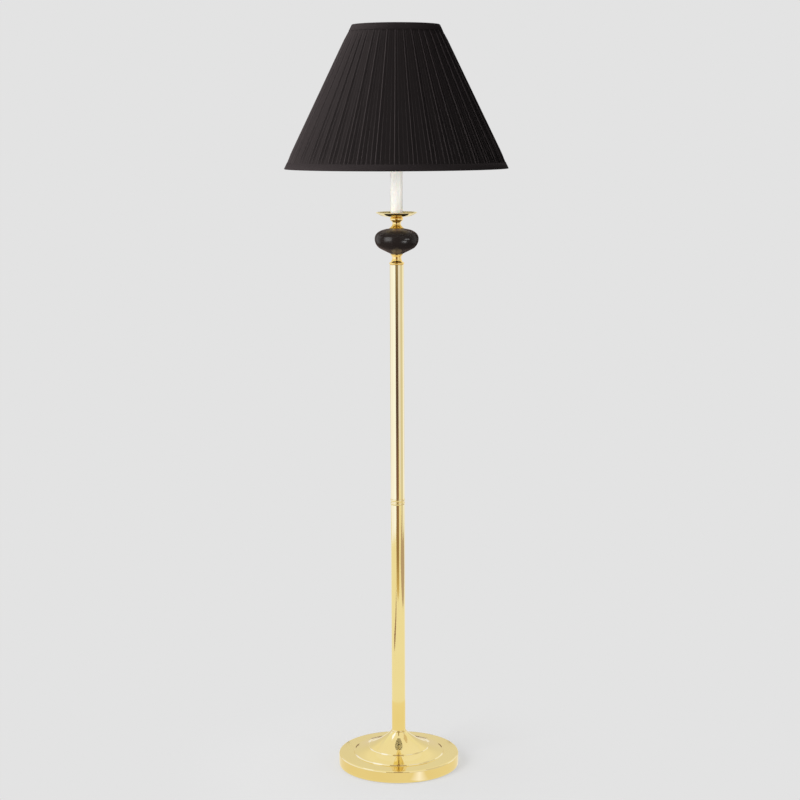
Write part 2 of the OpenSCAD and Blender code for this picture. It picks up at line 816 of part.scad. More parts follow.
// Three arms rise from the hub washer to the top ring
arms = 3;
hub_washer_r = 11;
arm_r = 1.6;
arm_in = 1.5;
module spider_arms(r) {
    for (i = [0:arms - 1]) rotate([0, 0, 90 + 360 * i / arms])
        bar([hub_washer_r - arm_in, 0, hub_z + hub_t + arm_r / 2],
            [top_ring_r - ring_wire_r - fit, 0, top_ring_z], r);
}

module shade_spider() {
    color(brass) difference() {
        union() {
            translate([0, 0, hub_z + seat]) cylinder(h = hub_t, r = hub_washer_r);
            spider_arms(arm_r);
        }
        translate([0, 0, hub_z - over]) cylinder(h = hub_t + 2 * over + arm_r, r = stud_r + running);
    }
}

// Finial: a low turned knob that clamps the hub
module finial() {
    low = hub_z + 2 * seat + hub_t;
    foot_r = 5.5;
    knob_r = 7;
    bore_spare = 1;
    top = low + finial_h;
    color(brass) difference() {
        rotate_extrude() polygon(concat(
            [[0, low], [foot_r, low], [foot_r, low + 2]],
            bezier([foot_r - 0.6, low + 2.6], [foot_r - 2, low + 4], [foot_r - 1.6, low + 5],
                   [foot_r - 0.4, low + 5.6], 6),
            bezier([foot_r + 0.4, low + 6], [knob_r + 1, low + 8], [knob_r + 0.6, top - 2], [0, top], 12)));
        translate([0, 0, low - over])
            cylinder(h = stud_l - hub_t + bore_spare + over, r = stud_r + running);
    }
}

base_shell();
base_weight();
base_felt();
base_washer();
lock_washer();
base_nut();
cord_bushing();
base_collar();
lower_rod();
lower_column();
column_ring();
upper_rod();
upper_column();
lower_neck();
ball();
upper_neck();
drip_pan();
candle_seat();
candle_sleeve();
candle_cap();
harp_saddle();
socket_cap();
cap_screw();
socket_shell();
socket_liner();
socket_body();
terminal_screws();
centre_contact();
screw_shell();
knob_shaft();
switch_knob();
bulb_cap();
bulb_insulator();
bulb_glass();
harp();
left_ferrule();
right_ferrule();
harp_stud();
shade_spider();
top_ring();
bottom_ring();
shade_lining();
shade_cover();
top_trim();
bottom_trim();
finial();
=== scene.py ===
# %% [markdown]
# # A column floor lamp
# A weighted brass base carries two brass tubes, a black lacquered ball between turned necks, a
# drip pan with an ivory candle sleeve, and a black pleated shade that hangs from a wire harp. The
# solids come ready from the CAD model, in metres, each in its place. This lesson gives them their
# finishes, sews a cloth shade over the plain one, and lights the lamp as in a studio.

# %% Load the lamp's solids
import json
import math
import random

import bpy
from mathutils import Euler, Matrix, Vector


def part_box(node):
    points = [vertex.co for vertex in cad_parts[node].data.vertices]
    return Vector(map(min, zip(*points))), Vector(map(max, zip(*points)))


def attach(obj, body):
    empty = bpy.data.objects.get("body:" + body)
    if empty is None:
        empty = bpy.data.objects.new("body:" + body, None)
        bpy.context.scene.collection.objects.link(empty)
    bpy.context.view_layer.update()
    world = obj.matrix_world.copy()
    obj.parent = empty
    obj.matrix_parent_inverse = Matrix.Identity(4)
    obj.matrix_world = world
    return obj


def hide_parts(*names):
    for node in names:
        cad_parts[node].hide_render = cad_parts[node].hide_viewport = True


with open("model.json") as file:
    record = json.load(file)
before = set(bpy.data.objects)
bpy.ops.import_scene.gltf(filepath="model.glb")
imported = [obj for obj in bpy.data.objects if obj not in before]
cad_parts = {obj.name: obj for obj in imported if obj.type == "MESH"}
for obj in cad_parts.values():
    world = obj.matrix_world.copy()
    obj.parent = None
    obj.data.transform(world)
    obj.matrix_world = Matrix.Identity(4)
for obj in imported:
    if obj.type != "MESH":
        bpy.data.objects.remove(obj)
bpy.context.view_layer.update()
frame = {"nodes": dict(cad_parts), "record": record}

# %% [markdown]
# ## The camera
# The lamp was taken with a long lens from about head height, looking slightly down, so the base
# shows its top and the shade hides its inside. A longer distance with a longer lens keeps the
# tall column straight. The small roll and turn put the lamp's axis where it stands in the
# picture.

# %% The camera
DISTANCE, EYE_HEIGHT = 3.6554, 1.3462
PITCH, TURN, ROLL = 8.747, -0.087, -0.2265
FOCAL_PIXELS, PICTURE_PIXELS = 1784.1, 800

camera = bpy.data.objects.new("camera", bpy.data.cameras.new("camera"))
bpy.context.scene.collection.objects.link(camera)
camera.data.sensor_width = 36
camera.data.lens = FOCAL_PIXELS / PICTURE_PIXELS * camera.data.sensor_width
camera.location = (0, -DISTANCE, EYE_HEIGHT)
aim = Euler((math.radians(90 - PITCH), 0, math.radians(TURN))).to_matrix()
roll = Euler((0, 0, math.radians(ROLL))).to_matrix()
camera.rotation_euler = (aim @ roll).to_euler()
bpy.context.scene.camera = camera
bpy.context.scene.view_settings.view_transform = "Standard"
print("lens", round(camera.data.lens, 2), "mm")

# %% [markdown]
# ## A few small tools
# Every finish here is a net of shader nodes. `add` makes one node and plugs its inputs, so a
# finish reads like a recipe. `mesh_from` and `new_object` turn lists of points and faces into a
# piece.

# %% Node helpers
def add(tree, kind, inputs=None, **settings):
    """A new node. An input is either a plain value or the output of another node."""
    node = tree.nodes.new("ShaderNode" + kind)
    for name, value in settings.items():
        setattr(node, name, value)
    for name, value in (inputs or {}).items():
        if isinstance(value, bpy.types.NodeSocket):
            tree.links.new(value, node.inputs[name])
        else:
            node.inputs[name].default_value = value
    return node


def grey(level):
    return (level, level, level, 1)


def new_tree(name):
    material = bpy.data.materials.new(name)
    material.use_nodes = True
    material.node_tree.nodes.clear()
    return material, material.node_tree


def to_output(tree, shader):
    add(tree, "OutputMaterial", {"Surface": shader.outputs[0]})


print("node helpers ready")


# %% Mesh helpers
def mesh_from(name, points, faces, smooth=True):
    data = bpy.data.meshes.new(name)
    data.from_pydata(points, [], faces)
    data.validate()
    data.update()
    for face in data.polygons:
        face.use_smooth = smooth
    return data


def new_object(name, mesh_data, material):
    piece = bpy.data.objects.new(name, mesh_data)
    bpy.context.scene.collection.objects.link(piece)
    mesh_data.materials.append(material)
    return piece


print("mesh helpers ready")

# %% [markdown]
# ## Backdrop
# The lamp stands before pale seamless paper. A backdrop could be a large curved sheet, but the
# world does the same with no edge to hide: to the camera and in reflections it is one even light
# grey, which rises to white overhead. For the light that falls on the lamp it is a plain, dimmer
# room.

# %% The backdrop
PAPER, OVERHEAD, ROOM = 0.768, 1.0, 0.46
PAPER_TOP, WHITE_FROM = 0.2, 0.8

world = bpy.data.worlds.new("studio")
bpy.context.scene.world = world
world.use_nodes = True
tree = world.node_tree
tree.nodes.clear()
direction = add(tree, "SeparateXYZ", {"Vector": add(tree, "TexCoord").outputs["Generated"]})
paper_level = add(tree, "MapRange", {"Value": direction.outputs["Z"], "From Min": PAPER_TOP,
                                     "From Max": WHITE_FROM, "To Min": PAPER,
                                     "To Max": OVERHEAD}, interpolation_type="SMOOTHSTEP")
paper = add(tree, "Background", {"Color": grey(1), "Strength": paper_level.outputs[0]})
room = add(tree, "Background", {"Color": grey(1), "Strength": ROOM})
rays = add(tree, "LightPath")
seen = add(tree, "Math", {0: rays.outputs["Is Camera Ray"], 1: rays.outputs["Is Glossy Ray"]},
           operation="ADD")
seen = add(tree, "Math", {0: seen.outputs[0], 1: rays.outputs["Is Transmission Ray"]},
           operation="ADD", use_clamp=True)
both = add(tree, "MixShader", {0: seen.outputs[0], 1: room.outputs[0], 2: paper.outputs[0]})
add(tree, "OutputWorld", {"Surface": both.outputs[0]})
print("backdrop grey", PAPER)

# %% [markdown]
# ## Floor
# To the camera the floor is the same grey as the backdrop, so no horizon shows. Near the base it
# also takes real light, which keeps the soft shadow that makes the lamp stand on it. In the brass
# the floor is the bright lit paper that fills the lower column with plain gold. The collection
# `brass_only` names the pieces that are to see that. The floor lies a hair under the felt,
# because two faces in one plane would flicker into each other.

# %% The floor
LIT_FLOOR = 0.95
SHADED_PAPER, BOUNCING_PAPER = 0.69, 0.7
SHADOW_SHARE, SHADOW_FULL, SHADOW_END = 0.42, 0.15, 0.5
FLOOR_RADIUS, UNDER_FELT, FLOOR_CORNERS = 7, -0.0004, 96

material, tree = new_tree("floor_paper")
reach = add(tree, "VectorMath", {0: add(tree, "TexCoord").outputs["Object"]}, operation="LENGTH")
near = add(tree, "MapRange", {"Value": reach.outputs["Value"], "From Min": SHADOW_FULL,
                              "From Max": SHADOW_END, "To Min": SHADOW_SHARE, "To Max": 0.0},
           interpolation_type="SMOOTHSTEP")
flat = add(tree, "Emission", {"Color": grey(PAPER), "Strength": 1.0})
shaded = add(tree, "BsdfDiffuse", {"Color": grey(SHADED_PAPER)})
view = add(tree, "MixShader", {0: near.outputs[0], 1: flat.outputs[0], 2: shaded.outputs[0]})
bright = add(tree, "Emission", {"Color": grey(LIT_FLOOR), "Strength": 1.0})
bounce = add(tree, "BsdfDiffuse", {"Color": grey(BOUNCING_PAPER)})
rays = add(tree, "LightPath")
unseen = add(tree, "MixShader", {0: rays.outputs["Is Glossy Ray"], 1: bounce.outputs[0],
                                 2: bright.outputs[0]})
to_output(tree, add(tree, "MixShader", {0: rays.outputs["Is Camera Ray"], 1: unseen.outputs[0],
                                        2: view.outputs[0]}))
material.cycles.emission_sampling = "NONE"

rim = [(FLOOR_RADIUS * math.cos(a), FLOOR_RADIUS * math.sin(a), UNDER_FELT)
       for a in (2 * math.pi * i / FLOOR_CORNERS for i in range(FLOOR_CORNERS))]
floor = new_object("floor", mesh_from("floor", rim, [list(range(FLOOR_CORNERS))], smooth=False),
                   material)
brass_only = bpy.data.collections.new("brass_only")
floor.light_linking.receiver_collection = brass_only
print("floor", 2 * FLOOR_RADIUS, "m across")

# %% [markdown]
# ## Studio light
# A large softbox stands to the left, a small one to the right, and one hangs overhead. They only
# give diffuse light: polished brass would show them as burnt-out patches, so its reflections are
# made with cards further on.

# %% Softboxes
def softbox(name, place, aim_height, width, length, power, lit=None):
    """A lamp that faces the column's axis at `aim_height`. If it lights only the pieces in `lit`,
    it also shines in them."""
    lamp = bpy.data.lights.new(name, "AREA")
    lamp.shape = "RECTANGLE"
    lamp.size, lamp.size_y = width, length
    lamp.energy = power
    box = bpy.data.objects.new(name, lamp)
    bpy.context.scene.collection.objects.link(box)
    box.location = place
    towards = Vector((0, 0, aim_height)) - Vector(place)
    box.rotation_euler = towards.to_track_quat("-Z", "Y").to_euler()
    box.visible_camera = False
    box.visible_glossy = lit is not None
    if lit:
        box.light_linking.receiver_collection = lit
    print(name, power, "W")


softbox("left_softbox", (-1.85, -1.7, 1.75), 1.1, 1.5, 1.9, 78)
softbox("right_softbox", (1.95, -1.4, 1.15), 1.0, 0.45, 1.0, 7)
softbox("top_softbox", (0, 0.3, 3.1), 0.5, 1.4, 1.4, 36)

# %% [markdown]
# ## Lamps for one thing each
# Black things hardly answer to that light, so they have lamps of their own. The ball shows three
# as soft shine and two more, far round to its sides, as lighter edges. The shade has one far
# round on the left that rakes over the folds, a weaker one in front and one behind. The sleeve
# stands in the shade's shadow and has two small fills. A photographer would flag these off
# everything else, so each is linked to what it may light.

# %% Linked lamps
BALL_HEIGHT, SLEEVE_HEIGHT, CLOTH_HEIGHT = 1.12, 1.2, 1.4

ball_only, cloth_only, sleeve_only = (bpy.data.collections.new(name)
                                      for name in ("ball_only", "cloth_only", "sleeve_only"))
ball_only.objects.link(frame["nodes"]["ball"])
sleeve_only.objects.link(frame["nodes"]["candle_sleeve"])
for name, place, width, length, power in (
        ("ball_glow", (-1.35, -1.30, 1.38), 1.3, 1.6, 50),
        ("ball_glint", (1.6, -1.12, 1.26), 0.7, 0.3, 13),
        ("ball_low_glint", (0.76, -0.84, 0.71), 0.42, 0.2, 5),
        ("ball_left_edge", (-1.9, 0.6, 1.2), 1.7, 1.9, 13),
        ("ball_right_edge", (1.9, 0.6, 1.2), 1.5, 1.9, 6)):
    softbox(name, place, BALL_HEIGHT, width, length, power, ball_only)
softbox("cloth_rake", (-2.1, 0.15, 1.9), CLOTH_HEIGHT, 0.8, 0.8, 285, cloth_only)
softbox("cloth_front", (-0.6, -2.5, 1.5), CLOTH_HEIGHT, 1.0, 1.0, 92, cloth_only)
softbox("cloth_behind", (1.2, 2.5, 1.6), CLOTH_HEIGHT, 1.0, 1.0, 130, cloth_only)
softbox("sleeve_left", (-1.38, -0.24, 1.22), SLEEVE_HEIGHT, 0.5, 0.5, 2.3, sleeve_only)
softbox("sleeve_right", (1.25, -0.7, 1.22), SLEEVE_HEIGHT, 0.5, 0.5, 5.6, sleeve_only)

# %% [markdown]
# ## What the brass reflects
# Polished brass has no look of its own, it shows what surrounds it. A photographer stands cards
# and screens round such a piece, and so does this studio. They show in the brass only, so they
# neither light the lamp, nor tint the black things, nor stand in other views. A card's colour can
# run through several stops along one direction.

# %% A card that only reflections see
def card(name, corners, stops, way=(0, 0, 1)):
    """Faces of four corners each. A stop is a distance along `way` and the colour there, and a
    single stop colours the whole card. Colours over 1 are kept by the strength of the light."""
    material, tree = new_tree(name)
    peak = max(max(colour) for _, colour in stops)
    place = add(tree, "VectorMath", {0: add(tree, "TexCoord").outputs["Object"], 1: way},
                operation="DOT_PRODUCT").outputs["Value"]
    first, last = stops[0][0], max(stops[-1][0], stops[0][0] + 0.001)
    share = add(tree, "MapRange", {"Value": place, "From Min": first, "From Max": last}).outputs[0]
    paint = add(tree, "ValToRGB", {"Fac": share})
    dots = paint.color_ramp.elements
    while len(dots) < len(stops):
        dots.new(0.5)
    while len(dots) > len(stops):
        dots.remove(dots[-1])
    for dot, (at, colour) in zip(dots, stops):
        dot.position = (at - first) / (last - first)
        dot.color = [*(level / peak for level in colour), 1]
    to_output(tree, add(tree, "Emission", {"Color": paint.outputs[0], "Strength": peak}))
    material.cycles.emission_sampling = "NONE"
    faces = [tuple(range(4 * i, 4 * i + 4)) for i in range(len(corners) // 4)]
    piece = new_object(name, mesh_from(name, corners, faces, smooth=False), material)
    for ray in ("camera", "diffuse", "transmission", "volume_scatter", "shadow"):
        setattr(piece, "visible_" + ray, False)
    piece.light_linking.receiver_collection = brass_only
    print("card", name)


def upright(x0, y0, x1, y1, z0, z1):
    return [(x0, y0, z0), (x1, y1, z0), (x1, y1, z1), (x0, y0, z1)]


print("cards will show in", brass_only.name)

# %% [markdown]
# ### Walls for the column
# A cream screen and a wall on the left turn half of the column cream, and dimmer walls on the
# right turn the other half olive gold. The unlit end of the studio in front makes the dark stripe
# between them.

# %% Walls
CREAM, PALE_WALL, SOFT_WALL = (1.09, 1.26, 2.15), (1.06, 1.17, 1.95), (1.0, 1.02, 0.97)
DIM_WALL, BACK_WALL = (0.76, 0.76, 0.88), (1.06, 1.14, 1.65)

card("left_screen", upright(-0.95, -2.15, -2.1, -0.75, 0, 2.7),
     [(0, CREAM), (1.15, CREAM), (1.5, SOFT_WALL)])
card("left_wall", upright(-2.1, -0.75, -1.9, 1.9, 0, 2.6),
     [(0, PALE_WALL), (1.1, PALE_WALL), (1.5, SOFT_WALL)])
card("right_front_wall", upright(1.6, -4.3, 2.3, -1.6, 0, 2.4), [(0, (0.90, 0.95, 1.45))])
card("right_wall", upright(2.3, -1.6, 2.1, 0.5, 0, 2.4), [(0, DIM_WALL)])
card("right_back_wall", upright(2.1, 0.5, 1.8, 2.5, 0, 2.4),
     [(0, BACK_WALL), (0.8, BACK_WALL), (1.1, (0.98, 0.98, 0.90))])
card("dark_end", upright(-2.0, -4.3, 1.6, -4.3, 0, 3.6),
     [(0, (0.11, 0.07, 0.095)), (0.45, (0.13, 0.09, 0.105)), (0.75, (0.33, 0.26, 0.21)),
      (3.6, (0.46, 0.33, 0.26))])

# %% [markdown]
# ### Ceiling and back for the base
# The base looks up, so it shows the ceiling as well: dark over the camera, and a bright window
# high on the left. Its far half shows the paper behind the lamp, and on both sides dark cards paint
# a shadow into that reflection: a few dark patches before the paper and a dark strip on the floor.

# %% Ceiling and back
BEHIND, OVER_FLOOR = 2.0, 0.004
SHADOW_PATCHES = ((0.07, 0.19, 0.0, 0.12), (0.19, 0.32, 0.48, 0.67), (0.134, 0.157, 0.723, 0.744))
SHADOW_STRIP = ((0.012, 0.3), (0.05, 0.34), (0.19, 1.99), (0.07, 1.99))

card("dark_ceiling", [(-0.95, -4.3, 3.6), (0.75, -4.3, 3.6), (0.10, -0.9, 3.0), (-0.16, -0.9, 3.0)],
     [(0, (0.30, 0.20, 0.15))])
card("high_window", upright(-2.0, -1.0, -2.0, 0.5, 2.5, 4.0), [(0, (1.25, 1.45, 2.7))])
card("dim_corner", upright(2.0, 0.0, 1.95, 0.9, 2.2, 4.6), [(0, (0.78, 0.68, 0.56))])
card("back_paper", upright(-2.2, 3.0, 2.2, 3.0, 0, 3.4),
     [(0, (0.80, 0.73, 0.56)), (0.75, (0.83, 0.80, 0.68)), (1.2, (0.85, 0.83, 0.72)),
      (2.2, (0.98, 0.97, 0.90))])
# Painted shadow: dark patches and a strip on the floor behind the lamp, seen only in the brass.
for side in (-1, 1):
    corners = []
    for x0, x1, z0, z1 in SHADOW_PATCHES:
        corners += upright(side * x0, BEHIND, side * x1, BEHIND, z0, z1)
    corners += [(side * x, y, OVER_FLOOR) for x, y in SHADOW_STRIP]
    card("back_shadow", corners, [(0, (0.22, 0.135, 0.11))])

# %% [markdown]
# ### Floors
# Lower down, the column's dark stripe fades to brown and gold, where it reflects first a wooden
# floor and then the white paper. The rim of the base sees the paper close by, warm from the brass
# itself, with one pale sheet on it. These cards lie at slightly different heights over the floor,
# so that no two share a plane.

# %% Floors
NEAR, FAR, SLICES = 0.1284, 0.42, 48
WARM, PALE = (0.925, 0.86, 0.69), (1.16, 1.22, 1.75)
SHEET = ((0.0247, -0.1361), (0.0603, -0.1059), (0.1113, -0.1654), (0.0757, -0.1956))

card("wooden_floor", [(-0.66, -1.35, OVER_FLOOR), (0.5, -1.35, OVER_FLOOR), (1.6, -4.3, OVER_FLOOR),
                      (-2.0, -4.3, OVER_FLOOR)],
     [(1.35, (0.70, 0.55, 0.30)), (1.8, (0.36, 0.24, 0.145)), (3.0, (0.24, 0.135, 0.145)),
      (4.3, (0.13, 0.085, 0.10))], way=(0, -1, 0))
card("screen_gap", [(-0.78, -1.30, OVER_FLOOR), (-0.62, -1.05, OVER_FLOOR),
                    (-0.80, -0.22, OVER_FLOOR), (-0.95, -0.28, OVER_FLOOR)],
     [(0, (0.30, 0.17, 0.18))])
card("right_floor", [(1.25, -1.3, OVER_FLOOR), (2.2, -1.3, OVER_FLOOR), (2.0, 1.2, OVER_FLOOR),
                     (1.25, 1.2, OVER_FLOOR)],
     [(0, (0.52, 0.42, 0.46))])
around = [(math.sin(a), math.cos(a)) for a in (2 * math.pi * i / SLICES for i in range(SLICES + 1))]
card("warm_floor", [(r * x, r * y, 0.5 * OVER_FLOOR) for a, b in zip(around, around[1:])
                    for r, (x, y) in ((NEAR, a), (NEAR, b), (FAR, b), (FAR, a))], [(0, WARM)])
card("pale_sheet", [(x, y, 0.75 * OVER_FLOOR) for x, y in SHEET],
     [(-0.0697, WARM), (-0.0464, PALE), (-0.0231, WARM)], way=(0.759, 0.65, 0))

# %% [markdown]
# ## Brass
# The lamp's metal is brass, polished on the wheel and then lacquered. Its colour is the metal's
# own reflection, so the shader is fully metallic with no paint on it, and a thin clear coat
# stands for the lacquer. What makes it look worked is very fine: spinning and turning leave rings
# round the axis, drawing leaves lines along the tube. The grain comes from noise stretched in
# that direction, and it moves the roughness as much as the surface.

# %% Grain directions
def round_axis(tree, across, along):
    """Coordinates that change quickly with radius and height and not at all round the axis."""
    place = add(tree, "SeparateXYZ", {"Vector": add(tree, "TexCoord").outputs["Object"]})
    flat = add(tree, "CombineXYZ", {"X": place.outputs["X"], "Y": place.outputs["Y"]})
    radius = add(tree, "VectorMath", {0: flat.outputs[0]}, operation="LENGTH")
    wide = add(tree, "Math", {0: radius.outputs["Value"], 1: across}, operation="MULTIPLY")
    tall = add(tree, "Math", {0: place.outputs["Z"], 1: along}, operation="MULTIPLY")
    return add(tree, "CombineXYZ", {"X": wide.outputs[0], "Z": tall.outputs[0]}).outputs[0]


def along_axis(tree, across, along):
    """Coordinates that change quickly across a tube and slowly along it."""
    place = add(tree, "TexCoord").outputs["Object"]
    return add(tree, "VectorMath", {0: place, 1: (across, across, along)},
               operation="MULTIPLY").outputs[0]


def even(tree, scale):
    """Coordinates that change alike in every direction."""
    return along_axis(tree, scale, scale)


print("grain directions ready")


# %% Noise and what it moves
def noise(tree, place, detail=3.0, roughness=0.5):
    return add(tree, "TexNoise", {"Vector": place, "Scale": 1.0, "Detail": detail,
                                  "Roughness": roughness}).outputs[0]


def between(tree, amount, low, high):
    """A number from low to high, or a colour between two, by a noise, which seldom leaves the
    range from 0.25 to 0.75."""
    if isinstance(low, tuple):
        return add(tree, "MixRGB", {0: amount, 1: (*low, 1), 2: (*high, 1)}).outputs[0]
    return add(tree, "MapRange", {"Value": amount, "From Min": 0.25, "From Max": 0.75,
                                  "To Min": low, "To Max": high}).outputs[0]


def relief(tree, amount, depth):
    return add(tree, "Bump", {"Height": amount, "Distance": depth, "Strength": 1.0}).outputs[0]


print("noise ready")


# %% [markdown]
# ### Three looks of one metal
# Spun sheet is pale and nearly a mirror, drawn tube is a little softer along its length, and what
# was turned from the bar is deeper in colour, with rings that the tool left.

# %% Brass finishes
CLOUD_SCALE = 14.0


def brass(name, deep, pale, roughness, grain, across, along, depth):
    material, tree = new_tree(name)
    marks = noise(tree, grain(tree, across, along), detail=4.0, roughness=0.65)
    cloud = noise(tree, even(tree, CLOUD_SCALE), detail=2.0)
    shader = add(tree, "BsdfPrincipled", {
        "Base Color": between(tree, cloud, deep, pale),
        "Roughness": between(tree, marks, *roughness),
        "Normal": relief(tree, marks, depth),
        "Metallic": 1.0, "Coat Weight": 0.12, "Coat Roughness": 0.06, "Coat IOR": 1.48})
    to_output(tree, shader)
    return material


spun_brass = brass("spun_brass", (0.83, 0.66, 0.27), (0.88, 0.73, 0.34), roughness=(0.04, 0.07),
                   grain=round_axis, across=900.0, along=900.0, depth=0.000001)
drawn_brass = brass("drawn_brass", (0.87, 0.70, 0.28), (0.90, 0.755, 0.34), roughness=(0.05, 0.08),
                    grain=along_axis, across=2200.0, along=12.0, depth=0.0000015)
turned_brass = brass("turned_brass", (0.89, 0.605, 0.165), (0.93, 0.665, 0.205),
                     roughness=(0.06, 0.11), grain=round_axis, across=2600.0, along=2600.0,
                     depth=0.000006)
print("brass finishes:", spun_brass.name, drawn_brass.name, turned_brass.name)

# %% [markdown]
# ## Lacquer and sleeve
# The ball is turned wood under black lacquer: a brown black, rubbed down to a satin that shows
# the lamps as soft patches and hardly shows the room. A faint warm sheen keeps its edges from
# falling to plain black. The sleeve is a satin ivory tube, and light goes a little way into it.

# %% Lacquer and ivory
def coated(name, low, high, scale, roughness, depth, **sockets):
    """A finish whose colour, roughness and relief follow one noise."""
    material, tree = new_tree(name)
    mottle = noise(tree, even(tree, scale), roughness=0.6)
    values = {"Base Color": between(tree, mottle, low, high),
              "Roughness": between(tree, mottle, *roughness),
              "Normal": relief(tree, mottle, depth)}
    values.update({key.replace("_", " "): value for key, value in sockets.items()})
    to_output(tree, add(tree, "BsdfPrincipled", values))
    return material


black_lacquer = coated("black_lacquer", (0.0060, 0.0045, 0.0040), (0.0090, 0.0068, 0.0060), 60.0,
                       (0.20, 0.27), 0.00001, Specular_IOR_Level=0.16, Sheen_Weight=0.10,
                       Sheen_Roughness=0.4, Sheen_Tint=(1.0, 0.75, 0.66, 1))
ivory_sleeve = coated("ivory_sleeve", (0.84, 0.81, 0.765), (0.88, 0.855, 0.81), 45.0,
                      (0.32, 0.42), 0.00003, Subsurface_Weight=0.08, Subsurface_Scale=0.004)
print("finishes:", black_lacquer.name, ivory_sleeve.name)

# %% [markdown]
# ## Hidden metals, card and glass
# Iron, zinc, plastic, card, rolled aluminium and opal glass are the plain finishes of what sits
# inside and under the shade. Each has its own grain: coarse for the cast iron, fine for the card.

# %% Hidden finishes
cast_iron = coated("cast_iron", (0.035, 0.035, 0.037), (0.09, 0.088, 0.085), 320.0,
                   (0.6, 0.85), 0.0006, Metallic=0.35)
zinc_steel = coated("zinc_steel", (0.50, 0.51, 0.53), (0.68, 0.69, 0.70), 220.0,
                    (0.25, 0.42), 0.00004, Metallic=1.0)
black_plastic = coated("black_plastic", (0.018, 0.018, 0.018), (0.028, 0.028, 0.028), 900.0,
                       (0.34, 0.5), 0.00003)
card_liner = coated("card_liner", (0.34, 0.235, 0.13), (0.50, 0.37, 0.23), 700.0,
                    (0.75, 0.9), 0.0001)
rolled_aluminium = coated("rolled_aluminium", (0.66, 0.66, 0.65), (0.78, 0.78, 0.76), 160.0,
                          (0.24, 0.36), 0.00003, Metallic=1.0)
opal_glass = coated("opal_glass", (0.84, 0.835, 0.81), (0.88, 0.875, 0.85), 25.0,
                    (0.10, 0.16), 0.00001, Subsurface_Weight=0.35, Subsurface_Scale=0.006,
                    Coat_Weight=0.6, Coat_Roughness=0.04)
lining_card = coated("lining_card", (0.80, 0.785, 0.745), (0.86, 0.845, 0.81), 500.0,
                     (0.7, 0.85), 0.00006)
print("hidden finishes:", cast_iron.name, "to", lining_card.name)

# %% [markdown]
# ## Each solid gets its finish
# The record names a finish for every solid. Brass is split by look: sheet pressed over a form on
# the lathe is spun, tubes and wire are drawn, and solid necks and rings are turned. The collar
# and the column's ring are turned too, but on this lamp they are as pale as the base, so they
# share its finish.

# %% Dress the solids
BY_SLOT = {"polished_brass": turned_brass, "cast_iron": cast_iron, "zinc_steel": zinc_steel,
           "black_plastic": black_plastic, "black_lacquer": black_lacquer,
           "ivory_sleeve": ivory_sleeve, "card_liner": card_liner, "bulb_shell": rolled_aluminium,
           "opal_glass": opal_glass, "lining": lining_card}
PALE_AS_SPUN = ("base_shell", "base_collar", "column_ring", "drip_pan", "socket_cap",
                "socket_shell", "screw_shell")
DRAWN = ("lower_column", "upper_column", "harp", "shade_spider", "top_ring", "bottom_ring")

for part in frame["record"]["subparts"]:
    node = part["node"]
    finish = BY_SLOT.get(part["material_slot"])
    if node in PALE_AS_SPUN:
        finish = spun_brass
    if node in DRAWN:
        finish = drawn_brass
    if finish:
        slots = frame["nodes"][node].data.materials
        slots.clear()
        slots.append(finish)
    if finish in (spun_brass, drawn_brass, turned_brass, zinc_steel):
        brass_only.objects.link(frame["nodes"][node])

# %% [markdown]
# ## The shade's size
# The cloth shade has to sit where the plain one is, so its size is read from the solids of its
# two binding tapes: their edges give a straight cone, and everything sewn follows that.

# %% Sizes of the shade
SHADE_LOW, SHADE_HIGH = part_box("bottom_trim")[0].z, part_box("top_trim")[1].z
BOTTOM_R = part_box("bottom_trim")[1].x
SLOPE = (BOTTOM_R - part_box("top_trim")[1].x) / (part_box("top_trim")[0].z - SHADE_LOW)
TOP_R = BOTTOM_R - SLOPE * (SHADE_HIGH - SHADE_LOW)
ACROSS = math.hypot(1, SLOPE)


def shade_radius(z):
    return BOTTOM_R - SLOPE * (z - SHADE_LOW)


print("shade", round(2000 * TOP_R), "and", round(2000 * BOTTOM_R), "mm across,",
      round(1000 * (SHADE_HIGH - SHADE_LOW)), "mm high")


# %% [markdown]
# ## One pleat
# The cover is one long strip of fine black cloth, knife pleated. Cloth hardly stretches, so its
# width is the same at every height. Round the wide bottom it only just goes round, in shallow
# pleats. Round the narrow top the same width lies folded nearly three deep. In plan a pleat's
# face runs forward, turns back under itself by what is left over, and the next face starts there.
# A cloth simulation would crumple such fine folds, so they are laid one by one, as the pleating
# machine does.

# %% One pleat in plan
CLOTH_WIDTH, PLEATS = 1.62, 150
FOLD_R, FOLDS_IN_DEPTH, FOLDS_IN_PITCH = 0.0015, 2.3, 3.4
FOLD_STEPS, FOLD_FROM, FOLD_STEP = 6, 200, 22
FACE_POINTS, BELLY = ((0.22, 0.6), (0.42, 0.15), (0.65, 0.0), (0.9, 0.0)), 2.2
BACK_POINTS = ((0.3, 0.25, 0.2), (0.8, 0.75, 0.7))


def pleat_section(pitch, depth):
    """Points from crest to crest: distance round the shade, depth under the crest, and how near
    the fold is. The fold is an arc, the face bellies out, and the back runs straight under it."""
    face = (CLOTH_WIDTH / PLEATS + pitch) / 2
    back = face - pitch
    round_r = min(FOLD_R, depth / FOLDS_IN_DEPTH, pitch / FOLDS_IN_PITCH)
    points = []
    # The third number of each point weights the painted highlight on the fold.
    for k in range(FOLD_STEPS):
        a = math.radians(FOLD_FROM - FOLD_STEP * k)
        points.append((round_r * (1 + math.cos(a)), round_r * (1 - math.sin(a)), 1.0))
    for share, fold in FACE_POINTS:
        points.append((share * face, depth * (1 - (1 - share) ** BELLY), fold))
    points.append((face - 0.2 * round_r, depth, 0.0))
    for share, rise, fold in BACK_POINTS:
        points.append((face - share * back, depth - rise * (depth - round_r), fold))
    return points


print("cloth in a pleat:", round(1000 * CLOTH_WIDTH / PLEATS, 1), "mm")


